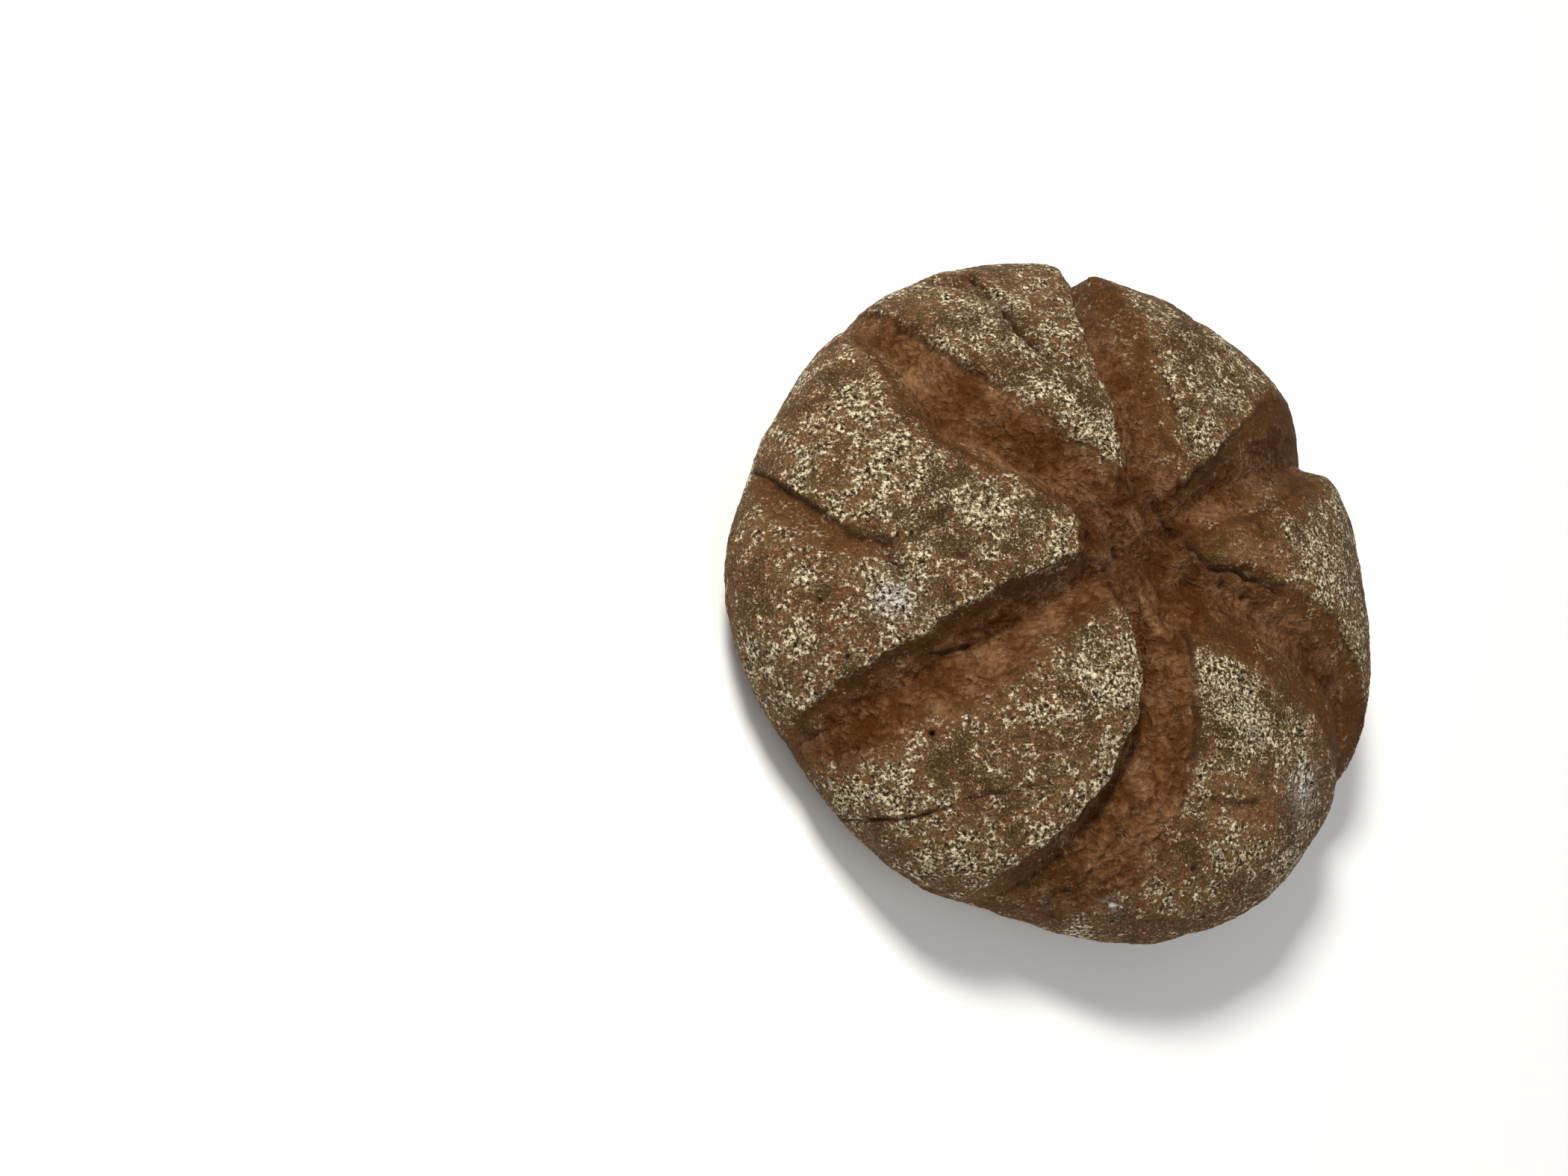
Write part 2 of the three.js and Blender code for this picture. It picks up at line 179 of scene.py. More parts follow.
# Extra flour: (a, b, radius, strength); a negative strength is bare crust
DUSTINGS = [
    (-45, 78, 16, 0.35), (-22, 52, 13, 0.35), (-12, 40, 10, 0.4), (-62, 100, 14, 0.2),
    (-64, 86, 9, -0.6), (-8, 38, 7, 0.9), (34, 88, 12, 0.35), (36, 60, 12, 0.35),
    (62, 84, 14, 0.2), (28, 38, 7, 0.5), (70, 10, 12, 0.4), (88, 4, 14, 0.35),
    (100, 26, 12, 0.2), (46, 5, 10, -0.9), (34, 6, 9, -0.9), (60, 18, 8, -0.4),
    (28, -46, 9, 1.0), (33, -58, 9, 1.0), (44, -54, 9, 0.5), (54, -64, 9, 0.2),
    (32, -78, 9, -0.8), (46, -80, 8, -0.5), (60, -90, 16, 0.3), (20, -118, 20, -0.05),
    (-20, -50, 12, 0.3), (-16, -36, 9, 0.35), (-40, -64, 14, 0.1), (-66, -78, 16, 0.1),
    (-36, -92, 14, 0.15), (-90, -88, 14, 0.1), (-70, 12, 14, 0.3), (-52, 4, 12, 0.3),
    (-92, 30, 16, 0.2), (-84, 50, 12, 0.1), (-80, -22, 9, 0.4), (-64, -8, 10, 0.1),
    (-110, -20, 20, 0.1), (-40, 0, 10, 0.1),
]
# Streaks, where the skin was stretched: (a, b, radius, bearing of the streaks, strength)
STREAKS = [
    (-44, -62, 30, 6, 1.4), (-84, -80, 24, 12, 0.7), (64, -74, 15, -78, 1.0), (-28, 24, 16, -52, 0.8),
    (92, -6, 18, -82, 0.5), (-104, -30, 24, -70, 0.4), (50, 96, 18, -40, 0.5),
]
# Painted shade on the torn crumb where it lies in shade: (a, b, radius, strength)
PAINTED_SHADE_SPOTS = [
    (64, 42, 26, 0.55), (92, 52, 20, 0.4), (80, -38, 26, 0.4), (100, -66, 16, 0.4), (52, -24, 18, 0.25),
    (4, 2, 20, 0.35), (22, 22, 10, 0.5), (4, 120, 16, 0.4), (6, 92, 16, 0.3),
]
# Cool white flour: (a, b, radius)
COOL_FLOUR = [(-81, -22, 6), (64, -74, 8), (-5, -116, 4)]
# Where the lobes puff up or sink: (a, b, radius, height)
SWELLS = [
    (-78, 52, 22, 2.5), (-62, -18, 20, 2.0), (-84, -6, 9, -2.0), (-100, -24, 16, 1.5),
    (-40, 74, 15, 2.0), (-18, 50, 12, 1.5), (38, 80, 18, 2.0), (34, 52, 12, 1.5), (44, 62, 8, -1.5),
    (78, 4, 18, 2.0), (34, -56, 14, 2.0), (28, -80, 9, -1.5), (22, -108, 24, 2.0), (62, -88, 16, 1.5),
    (-34, -60, 20, 2.0), (-70, -72, 16, 1.2), (-48, -88, 10, -1.2), (-56, -104, 20, 2.0),
]

CELLS = 512                # cells along each side of the skin's grid
FINER = 4                  # this many of them meet one cell of the underside's grid
UNDER_CELLS = CELLS // FINER
UNDER_INSET = 0.985        # the underside's own grid ends just inside the crust's rim
UNDER_HOLLOW = 0.5         # the underside's middle is this much higher than its rim
UNDER_RIM = 0.125          # it rises over this share of its radius
HEARTH_PRINT = [(0.5, 12.0, 60), (0.3, 4.0, 61)]      # height, size and seed of its lumps
LOW_FROM = 2.0             # the flour is rubbed thin from this level down
LOW_OVER = 22.0            # and fully there this much higher


# ---------------------------------------------------------------- numbers on the skin
def smooth(x):
    t = np.clip(x, 0.0, 1.0)
    return t * t * (3.0 - 2.0 * t)


def curve(p0, p1, p2, p3, t):
    """A smooth curve value between p1 and p2."""
    return 0.5 * (2 * p1 + (p2 - p0) * t + (2 * p0 - 5 * p1 + 4 * p2 - p3) * t ** 2
                  + (3 * p1 - p0 - 3 * p2 + p3) * t ** 3)


def hashed(i, j, k, seed):
    """A scrambled whole number for each corner of a lattice."""
    mixed = i * 374761393 + j * 668265263 + k * 1442695041 + seed * 974711
    mixed = (mixed ^ (mixed >> 13)) * 1274126177
    return (mixed ^ (mixed >> 16)) & 0xFFFF


def noise(places, size, seed):
    """Smooth bumps about `size` millimetres across, from about -1 to 1."""
    scaled = places / size
    corner = np.floor(scaled).astype(np.int64)
    inside = scaled - corner
    ease = inside ** 3 * (inside * (inside * 6.0 - 15.0) + 10.0)
    total = np.zeros(len(places))
    for step in np.ndindex(2, 2, 2):
        code = hashed(*(corner[:, axis] + step[axis] for axis in range(3)), seed)
        turn = code * (2.0 * math.pi / 65536.0)
        height = ((code * 40503) & 0xFFFF) / 32768.0 - 1.0
        across = np.sqrt(1.0 - np.minimum(height ** 2, 1.0))
        slope = (across * np.cos(turn), across * np.sin(turn), height)
        value = sum(slope[axis] * (inside[:, axis] - step[axis]) for axis in range(3))
        for axis in range(3):
            value = value * (ease[:, axis] if step[axis] else 1.0 - ease[:, axis])
        total += value
    return total * 1.7


def lumps(places, size, seed):
    """Plump plates with sharp valleys between them, from 0 to about 1."""
    return np.abs(noise(places, size, seed)) ** 0.75


def smooth_path(points, step=4.0):
    """The points joined by a smooth curve, every value carried along."""
    known = np.array(points, float)
    padded = np.vstack([2 * known[0] - known[1], known, 2 * known[-1] - known[-2]])
    pieces = []
    for i in range(1, len(padded) - 2):
        span = np.hypot(*(padded[i + 1] - padded[i])[:2])
        count = max(1, math.ceil(span / step))
        t = np.arange(count)[:, None] / count
        pieces.append(curve(padded[i - 1], padded[i], padded[i + 1], padded[i + 2], t))
    return np.vstack(pieces + [known[-1:]])


class Nearest:
    """The nearest place on a line for every point: distance, side, distance run, carried values."""

    def __init__(self, a, b, line):
        self.distance = np.full(len(a), np.inf)
        self.left = np.zeros(len(a), bool)
        self.run = np.zeros(len(a))
        self.values = np.zeros((len(a), line.shape[1] - 2))
        passed = 0.0
        for start, end in zip(line[:-1], line[1:]):
            da, db = end[:2] - start[:2]
            length = math.hypot(da, db)
            t = np.clip(((a - start[0]) * da + (b - start[1]) * db) / length ** 2, 0.0, 1.0)
            distance = np.hypot(a - start[0] - t * da, b - start[1] - t * db)
            near = distance < self.distance
            self.distance[near] = distance[near]
            self.left[near] = (da * (b - start[1]) - db * (a - start[0]) >= 0.0)[near]
            self.run[near] = passed + t[near] * length
            self.values[near] = start[2:] + t[near, None] * (end[2:] - start[2:])
            passed += length


# ---------------------------------------------------------------- the dome
def side_view(steps=1600):
    """The dome's side view, crown to foot: walked distance, radius, height, and the way it faces."""
    turn = np.linspace(0.0, math.pi / 2, steps)
    low = turn[1::3]
    power = 2.0 / FULLNESS
    radius = np.concatenate([RADIUS * np.sin(turn) ** power, RADIUS - TUCK + TUCK * np.cos(low)])
    height = np.concatenate([WIDEST + (CROWN - WIDEST) * np.abs(np.cos(turn)) ** power,
                             WIDEST - WIDEST * np.sin(low)])
    height[-1] = 0.0
    walked = np.concatenate([[0.0], np.cumsum(np.hypot(np.diff(radius), np.diff(height)))])
    even = np.linspace(0.0, walked[-1], steps)
    radius = np.interp(even, walked, radius)
    height = np.interp(even, walked, height)
    run = np.gradient(radius, even)
    fall = -np.gradient(height, even)
    length = np.hypot(run, fall)
    return even, radius, height, fall / length, run / length


SIDE = side_view()
SKIN_LENGTH = SIDE[0][-1]


def outline_radius(bearing):
    """Plan radius at a bearing in radians."""
    degrees = np.degrees(bearing) % 360.0
    angles = np.array([point[0] for point in OUTLINE], float)
    radii = np.array([point[1] for point in OUTLINE], float)
    count = len(OUTLINE)
    i = np.searchsorted(angles, degrees, side="right") - 1
    end = np.where(i + 1 < count, angles[(i + 1) % count], 360.0 + angles[0])
    t = (degrees - angles[i]) / (end - angles[i])
    return curve(radii[i - 1], radii[i], radii[(i + 1) % count], radii[(i + 2) % count], t)


def dome(a, b):
    """The plain dome's places and the way each one faces."""
    walked = np.hypot(a, b)
    bearing = np.arctan2(b, a)
    radius, height, outward, upward = (np.interp(walked, SIDE[0], column) for column in SIDE[1:])
    swell = 1.0 + (outline_radius(bearing) / RADIUS - 1.0) * (radius / RADIUS) ** 2
    places = np.stack([radius * swell * np.cos(bearing), radius * swell * np.sin(bearing), height], 1)
    facing = np.stack([outward * np.cos(bearing), outward * np.sin(bearing), upward], 1)
    return places, facing


# ---------------------------------------------------------------- the relief
# Layers of lumps: (height, size in millimetres, seed)
TORN_PLATES = [(1.5, 9.0, 41), (0.9, 4.4, 42), (0.4, 2.2, 43)]
TORN_FOLDS = [(0.8, 3.6, 40), (0.4, 1.9, 46)]
TORN_LEVEL = 1.9           # taken off, so that torn crumb is level on average
FOLD_STRETCH = 3.0         # folds are this many times longer along the cut than across it
MIDDLE_LUMPS = [(1.8, 11.0, 70), (0.9, 5.0, 71), (0.4, 2.4, 72)]
MIDDLE_LEVEL = 1.7
STREAK_LUMPS = [(1.0, 2.6, 85), (0.6, 1.5, 86)]
STREAK_LEVEL = 0.6
STREAK_STRETCH = 5.0
STREAK_HEIGHT = 0.7
WRINKLES = [(0.42, 4.2, 80)]
LEATHER = [(0.34, 2.2, 81)]
SKIN_LEVEL = 0.3
# Layers of noise, in the same way
EDGE_WANDER = [(1.3, 9.0, 1), (0.7, 3.6, 2)]
EDGE_SMEAR = [(0.35, 6.0, 3), (0.35, 2.4, 4)]
SLOW_SWELLS = [(0.9, 24.0, 8), (0.45, 10.0, 9)]
FLOUR_DRIFTS = [(0.16, 26.0, 90), (0.14, 9.0, 91)]

FULLY_OPEN = 9.0           # a cut this deep has its whole lip, crevice and crumb
LIP_STEP = 1.9             # how far the torn side breaks off below a sharp lip
LIP_LIFT = 0.35            # how far the skin on that side is lifted again
LIP_CURL = 0.5             # how far a sharp lip curls up outside the edge
LIP_BREAK = 1.1            # the width over which it breaks off
CURL_WIDTH = 2.2
CAUGHT_WIDTH = 1.3         # flour is caught this far outside a sharp edge
CAUGHT_IN = 0.6            # and this far inside it
CREVICE_IN = 1.3           # how far inside the edge a crevice runs
CREVICE_WIDTH = 0.9
CREVICE_LENGTHS = 8.0      # crevices are broken up into lengths of about this
# Painted shade goes into crevices, creases and pits through the crack mask
CREVICE_SHADE = 0.6        # how dark a crevice is for each millimetre of depth
EVEN_BLUR = 1.5            # the smear moves an edge with this blur by its own amount
MOST_BLUR = 3.0            # and a blur past this moves it no further
# Painted shade darkens the crumb in the deep parts of the cuts
PAINTED_SHADE_FROM = 13.0           # the crumb is darker below this depth
PAINTED_SHADE_OVER = 9.0            # and as dark as depth makes it this much lower

FLOUR_USUAL = 0.42         # how thickly flour lies on a plain part of a lobe
EDGE_FLOUR = 0.7           # how much more lies on a sharp lip
RIDGE_FLOUR = 0.6          # and on a ridge where the skin was stretched
BARE_FLOUR = 0.8           # how much less lies on bare crust
CRACK_FLOUR = 0.5          # and in a crack


def layered(places, layers, seed=0):
    """Lumps of several sizes on top of each other."""
    return sum(height * lumps(places, size, seed + own) for height, size, own in layers)


def drifting(places, layers):
    """Noise of several sizes added up."""
    return sum(height * noise(places, size, seed) for height, size, seed in layers)


def spread(a, b, middle_a, middle_b, radius):
    """A round soft spot: 1 in its middle, 0 far away."""
    return np.exp(-((a - middle_a) ** 2 + (b - middle_b) ** 2) / radius ** 2)


def spots(a, b, table):
    """Round soft spots added up, each (a, b, radius, strength)."""
    return sum(strength * spread(a, b, middle_a, middle_b, radius)
               for middle_a, middle_b, radius, strength in table)


def soft_lowest(heights):
    """The lowest of several heights, with the joins between them softened."""
    stacked = np.array(heights)
    lowest = stacked.min(0)
    return lowest - BLEND * np.log(np.exp((lowest - stacked) / BLEND).sum(0))


def torn_texture(places, near, seed):
    """The height of torn crumb: plates with dark valleys, and folds drawn along the cut."""
    side = np.where(near.left, near.distance, -near.distance)
    wavy = side + 1.6 * noise(places, 7.0, seed + 45)
    drawn = np.stack([near.run / FOLD_STRETCH, wavy, np.full(len(side), 7.0 * seed)], 1)
    return layered(places, TORN_PLATES, seed) + layered(drawn, TORN_FOLDS, seed) - TORN_LEVEL


def cut_sides(cut, near):
    """What each side of the cut is like at every point: every value goes from crown to rim."""
    outward = near.run / near.run.max()
    values = {}
    for name, plain in PLAIN_SIDE.items():
        left, right = (np.broadcast_to(cut[side].get(name, plain), 2) for side in ("left", "right"))
        values[name] = np.where(near.left, left[0] + (left[1] - left[0]) * outward,
                                right[0] + (right[1] - right[0]) * outward)
    coarse = np.broadcast_to(cut["coarse"], 2)
    values["coarse"] = coarse[0] + (coarse[1] - coarse[0]) * outward
    return values


def cut_height(a, b, cut, wander):
    """Height of the skin beside and inside one cut, and the distance outside its edge."""
    near = Nearest(a, b, smooth_path(cut["path"]))
    sides = cut_sides(cut, near)
    reach = np.maximum(np.where(near.left, near.values[:, 0], near.values[:, 1]) + wander, 0.5)
    depth = np.maximum(near.values[:, 2], 0.0)
    drop = np.minimum(sides["drop"], depth * 0.5)
    outside = near.distance - reach
    across = np.clip(near.distance / reach, 0.0, 1.0)
    height = np.where(outside < 0.0, -(drop + (depth - drop) * (1.0 - across ** sides["wall"])),
                      -drop * np.exp(-np.maximum(outside, 0.0) / sides["roll"]))
    return near, sides, depth, height, outside


def cut_lip(sides, opened, outside):
    """How high a sharp lip stands, and how much flour its very edge catches."""
    sharp = sides["lip"] * opened
    beyond = np.maximum(outside, 0.0)
    step = LIP_STEP * smooth(-outside / LIP_BREAK) - LIP_LIFT
    curl = LIP_CURL * np.exp(-(beyond / CURL_WIDTH) ** 2) * (outside >= 0.0)
    caught = np.exp(-(beyond / CAUGHT_WIDTH) ** 2) * (outside > -CAUGHT_IN)
    return sharp * (curl - step), sharp * caught


def cut_crevice(places, near, sides, opened, outside, seed):
    """How deep the crevice under a sharp lip is."""
    depth = np.exp(-((outside + CREVICE_IN) / CREVICE_WIDTH) ** 2) * sides["crack"] * opened
    depth = depth * smooth((near.run - CRACKS_START) / CRACKS_OVER)
    return depth * np.clip(1.0 + 1.2 * noise(places, CREVICE_LENGTHS, seed), 0.0, 1.5)


def cut_masks(sides, opened, outside, wander, smear):
    """How far the skin is torn crumb, and how far it is smooth bare crust."""
    wobble = smear * np.minimum(sides["blur"], MOST_BLUR) / EVEN_BLUR
    inward = -(outside + sides["inside"]) / sides["blur"]
    crumb = smooth((inward + wobble) * 0.5 + 0.35) * opened
    margin = sides["outside"] * (1.0 + 0.4 * wander)
    covered = (margin - outside) / (sides["blur"] + 1.0)
    return crumb, smooth(covered * 0.5 + 0.4 + 0.5 * wobble) * opened


def opened_cuts(a, b, places, wander, smear):
    """The six cuts: the skin's height beside each, the torn crumb's height, and the masks."""
    crumb, bare, edge, crack, texture, shares = (np.zeros(len(a)) for _ in range(6))
    heights = []
    for number, cut in enumerate(CUTS.values()):
        near, sides, depth, height, outside = cut_height(a, b, cut, wander)
        opened = np.clip(depth / FULLY_OPEN, 0.0, 1.0)
        lip, caught = cut_lip(sides, opened, outside)
        crevice = cut_crevice(places, near, sides, opened, outside, 20 + number)
        heights.append(height + lip - crevice)
        edge = np.maximum(edge, caught)
        # painted shade in the crevice under a sharp lip
        crack = np.maximum(crack, np.clip(crevice * CREVICE_SHADE, 0.0, 1.0))
        cut_crumb, cut_bare = cut_masks(sides, opened, outside, wander, smear)
        crumb = np.maximum(crumb, cut_crumb)
        bare = np.maximum(bare, cut_bare)
        share = smooth(-outside / 2.0 + 0.2)
        texture += share * torn_texture(places, near, 10 * number) * sides["coarse"]
        shares += share
    return heights, texture / np.maximum(shares, 1.0), crumb, bare, edge, crack


def torn_middle(a, b, wander, smear):
    """The hollow where the cuts meet: its heights, how far in a point lies, and its crumb."""
    middle, crumb = np.zeros(len(a)), np.zeros(len(a))
    heights = []
    for torn_a, torn_b, radius in TORN:
        outside = np.hypot(a - torn_a, b - torn_b) - wander * 1.5 - radius
        across = np.clip(1.0 + outside / radius, 0.0, 1.0)
        inner = -TORN_DROP - (TORN_DEPTH - TORN_DROP) * (1.0 - across ** 2)
        outer = -TORN_DROP * np.exp(-np.maximum(outside, 0.0) / TORN_ROLL)
        heights.append(np.where(outside < 0.0, inner, outer))
        middle = np.maximum(middle, smooth(-outside / 4.0 + 0.3))
        crumb = np.maximum(crumb, smooth(-outside / 3.0 + 0.3 + smear))
    return heights, middle, crumb


def holes(a, b, places):
    """The depth of the holes torn in the crumb, and how far into one each point lies."""
    depths, inside = np.zeros(len(a)), np.zeros(len(a))
    for hole_a, hole_b, radius, depth in HOLES:
        across = np.hypot(a - hole_a, b - hole_b) / radius * (1.0 + 0.25 * noise(places, 4.0, 5))
        dip = (1.0 - np.minimum(across, 1.0) ** 2) ** 1.5
        depths += depth * dip
        inside = np.maximum(inside, dip)
    return depths, inside


def creases_and_pits(a, b, places, wander):
    """The depth of the creases and pits, and how much painted shade they get."""
    depths, crack = np.zeros(len(a)), np.zeros(len(a))
    for depth, half_width, points in CREASES:
        near = Nearest(a, b, smooth_path(points))
        fade = smooth(near.run / 6.0 + 0.2) * smooth((near.run.max() - near.run) / 6.0 + 0.2)
        fade = fade * np.clip(0.9 + 0.6 * noise(places, 7.0, 50), 0.35, 1.2)
        side = np.where(near.left, near.distance, -near.distance)
        groove = np.exp(-((side + 0.7 * wander) / half_width) ** 2) * fade
        depths += depth * groove
        crack = np.maximum(crack, groove * min(depth / 2.0, 1.0) / max(half_width, 1.0) ** 0.7)
    for pit_a, pit_b, radius, depth in PITS:
        across = np.hypot(a - pit_a, b - pit_b) / radius * (1.0 + 0.3 * noise(places, 3.0, 6))
        dip = np.exp(-across ** 4)
        depths += depth * dip
        crack = np.maximum(crack, dip * min(depth / 2.5, 1.0))
    return depths, crack


def streak_ridges(a, b, places):
    """Low ridges where the skin was stretched."""
    ridges = np.zeros(len(a))
    for number, (middle_a, middle_b, radius, bearing, strength) in enumerate(STREAKS):
        turn = math.radians(bearing)
        along = a * math.cos(turn) + b * math.sin(turn)
        over = b * math.cos(turn) - a * math.sin(turn) + 1.2 * noise(places, 12.0, 60 + number)
        drawn = np.stack([along / STREAK_STRETCH, over, np.full(len(a), 9.0 * number)], 1)
        streaks = layered(drawn, STREAK_LUMPS) - STREAK_LEVEL
        ridges += strength * streaks * spread(a, b, middle_a, middle_b, radius)
    return ridges


def relief(a, b, places):
    """Height over the plain dome, and the masks that colour the skin."""
    wander = drifting(places, EDGE_WANDER)
    smear = drifting(places, EDGE_SMEAR)
    cut_heights, texture, crumb, bare, edge, crack = opened_cuts(a, b, places, wander, smear)
    middle_heights, middle, middle_crumb = torn_middle(a, b, wander, smear)
    crumb = np.maximum(crumb, middle_crumb)
    texture += middle * (layered(places, MIDDLE_LUMPS) - MIDDLE_LEVEL - texture)

    height = np.minimum(soft_lowest(cut_heights + middle_heights), 0.5)
    # painted shade: the hollow mask darkens the crumb deep in the cuts, inside the holes and at the
    # listed spots
    hollow = 0.5 * smooth((-height - PAINTED_SHADE_FROM) / PAINTED_SHADE_OVER)
    rough = np.maximum(crumb, 0.25 * bare)
    height = height + rough * texture
    hole_depths, in_hole = holes(a, b, places)
    hollow = np.maximum(hollow, in_hole * 0.9)
    _, _, slash_depth, slash_height, slash_outside = cut_height(a, b, SIDE_SLASH, 0.6 * wander)
    half_open = smooth(-slash_outside / 3.0 + 0.3) * np.clip(slash_depth / 5.0, 0.0, 1.0)
    crease_depths, crease_crack = creases_and_pits(a, b, places, wander)
    height = height - hole_depths + slash_height - crease_depths + spots(a, b, SWELLS)

    # the crust of the lobes: slow swells, wrinkles and a fine leathery grain
    skin = 1.0 - rough
    ridges = streak_ridges(a, b, places) * skin
    wrinkled = layered(places, WRINKLES) * (0.6 + 0.4 * noise(places, 20.0, 7))
    leathery = wrinkled + layered(places, LEATHER) - SKIN_LEVEL
    height = height + skin * (drifting(places, SLOW_SWELLS) + leathery) + STREAK_HEIGHT * ridges
    # painted shade at the listed spots where the torn crumb lies in shade
    for middle_a, middle_b, radius, strength in PAINTED_SHADE_SPOTS:
        hollow = np.maximum(hollow, strength * spread(a, b, middle_a, middle_b, radius))
    # the crack and hollow masks carry painted shade; the crack mask also thins the flour
    masks = dict(crumb=crumb, hollow=hollow, crack=np.maximum(crack, crease_crack),
                 bare=np.maximum(bare * (1.0 - crumb), 0.85 * half_open),
                 # the torn crumb's height, used to paint light on its rises and shade in its dips
                 lump=smooth((texture + 1.2) / 3.0))
    return height, masks, edge * (1.0 - middle), ridges


def flour_density(a, b, places, masks, edge, ridges):
    """How thickly the flour lies, from 0 to 1 and a little over on the heaviest spots."""
    density = FLOUR_USUAL + drifting(places, FLOUR_DRIFTS) + spots(a, b, DUSTINGS)
    density = density + EDGE_FLOUR * edge + RIDGE_FLOUR * ridges
    density = density - BARE_FLOUR * masks["bare"] - CRACK_FLOUR * masks["crack"]
    return np.clip(density, 0.03, 1.5)


# ---------------------------------------------------------------- the mesh
def square_to_disc(u, v):
    """A square grid bent into a disc, so that cells stay much the same size."""
    wide = np.abs(u) >= np.abs(v)
    safe_u = np.where(u == 0.0, 1.0, u)
    safe_v = np.where(v == 0.0, 1.0, v)
    radius = np.where(wide, u, v)
    bearing = np.where(wide, math.pi / 4 * v / safe_u, math.pi / 2 - math.pi / 4 * u / safe_v)
    return radius * np.cos(bearing), radius * np.sin(bearing)


def grid(cells):
    u, v = np.meshgrid(np.linspace(-1, 1, cells + 1), np.linspace(-1, 1, cells + 1), indexing="ij")
    return u.ravel(), v.ravel()


def grid_faces(cells, first=0):
    index = first + np.arange((cells + 1) ** 2).reshape(cells + 1, cells + 1)
    return np.stack([index[:-1, :-1], index[1:, :-1], index[1:, 1:], index[:-1, 1:]], -1).reshape(-1, 4)


def grid_rim(cells, first=0):
    """The grid's outer corners, in order, once round."""
    index = first + np.arange((cells + 1) ** 2).reshape(cells + 1, cells + 1)
    return np.concatenate([index[:-1, 0], index[-1, :-1], index[:0:-1, -1], index[0, :0:-1]])


MAP_STRIP = 0.2            # the underside's share of the square that the finish is laid out on
MAP_GAP = 0.004            # kept free between the parts there


def add_corner_map(mesh):
    """Lay the crust over most of the square, and the underside's four quarters in a strip."""
    layer = mesh.uv_layers.new(name="OFBake")
    corners = np.empty(len(mesh.loops), np.int32)
    mesh.loops.foreach_get("vertex_index", corners)
    sizes = np.empty(len(mesh.polygons), np.int32)
    mesh.polygons.foreach_get("loop_total", sizes)
    face_of_corner = np.repeat(np.arange(len(sizes)), sizes)
    top_u, top_v = grid(CELLS)
    under_u, under_v = grid(UNDER_CELLS)
    square = np.stack([np.concatenate([top_u, under_u * UNDER_INSET]),
                       np.concatenate([top_v, under_v * UNDER_INSET])], 1)[corners]
    under = face_of_corner >= CELLS ** 2
    middle = np.stack([np.bincount(face_of_corner, square[:, axis]) / sizes for axis in range(2)], 1)
    quarter = (middle > 0.0)[face_of_corner]
    strip, gap = MAP_STRIP, MAP_GAP
    spot = np.empty_like(square)
    spot[:, 0] = gap + (1.0 - 2 * gap) * (square[:, 0] + 1.0) / 2.0
    spot[:, 1] = strip + gap + (1.0 - strip - 2 * gap) * (square[:, 1] + 1.0) / 2.0
    place = quarter[:, 0] * 2 + quarter[:, 1]
    inner = np.where(quarter, square, square + 1.0)
    spot[under, 0] = (place * 0.25 + gap + (0.25 - 2 * gap) * inner[:, 0])[under]
    spot[under, 1] = (gap + (strip - 2 * gap) * inner[:, 1])[under]
    layer.data.foreach_set("uv", spot.astype(np.float32).ravel())


def underside():
    """The flat underside, very slightly hollow, with the print of the hearth."""
    x, y = square_to_disc(*grid(UNDER_CELLS))
    bearing = np.arctan2(y, x)
    radius = (RADIUS - TUCK) * np.hypot(x, y) * UNDER_INSET
    swell = 1.0 + (outline_radius(bearing) / RADIUS - 1.0) * ((RADIUS - TUCK) / RADIUS) ** 2
    places = np.stack([radius * swell * np.cos(bearing), radius * swell * np.sin(bearing),
                       np.zeros(len(x))], 1)
    inward = smooth((1.0 - np.hypot(x, y)) / UNDER_RIM)
    places[:, 2] = inward * (UNDER_HOLLOW + layered(places, HEARTH_PRINT))
    return places


def crust_skin():
    """The crust's points and masks, on the square grid bent into a disc."""
    x, y = square_to_disc(*grid(CELLS))
    a = x * SKIN_LENGTH
    b = y * SKIN_LENGTH
    places, facing = dome(a, b)
    height, masks, edge, ridges = relief(a, b, places)
    masks["flour"] = flour_density(a, b, places, masks, edge, ridges)
    masks["cool"] = np.max([spread(a, b, *spot) for spot in COOL_FLOUR], axis=0)
    masks["low"] = 1.0 - smooth((places[:, 2] - LOW_FROM) / LOW_OVER)
    height = height * smooth((SKIN_LENGTH - np.hypot(a, b)) / FOOT_MARGIN)
    skin = places + facing * height[:, None]
    skin[:, 2] = np.maximum(skin[:, 2], 0.0)
    skin[grid_rim(CELLS), 2] = 0.0
    return skin, masks


def joining_faces(rim, inner_rim):
    """Faces between the crust's fine rim and the underside's, facing down."""
    faces = []
    for i, (here, there) in enumerate(zip(inner_rim, np.roll(inner_rim, -1))):
        outer = [rim[(FINER * i + k) % len(rim)] for k in range(FINER + 1)]
        faces.append([there, here] + outer)
    return np.array(faces)[:, ::-1]


def mesh_of(points, face_groups, masks):
    """A mesh from groups of faces; the faces of a group have the same number of corners."""
    mesh = bpy.data.meshes.new("loaf_crust")
    mesh.vertices.add(len(points))
    mesh.vertices.foreach_set("co", points.ravel())
    corners = np.concatenate([faces.ravel() for faces in face_groups])
    sizes = np.concatenate([np.full(len(faces), faces.shape[1]) for faces in face_groups])
    starts = np.concatenate([[0], np.cumsum(sizes)[:-1]])
    mesh.loops.add(len(corners))
    mesh.loops.foreach_set("vertex_index", corners.astype(np.int32))
    mesh.polygons.add(len(sizes))
    mesh.polygons.foreach_set("loop_start", starts.astype(np.int32))
    mesh.polygons.foreach_set("use_smooth", np.ones(len(sizes), bool))
    mesh.update(calc_edges=True)
    for name, values in masks.items():
        layer = mesh.attributes.new(name, "FLOAT", "POINT")
        layer.data.foreach_set("value", values.astype(np.float32))
    add_corner_map(mesh)
    return mesh


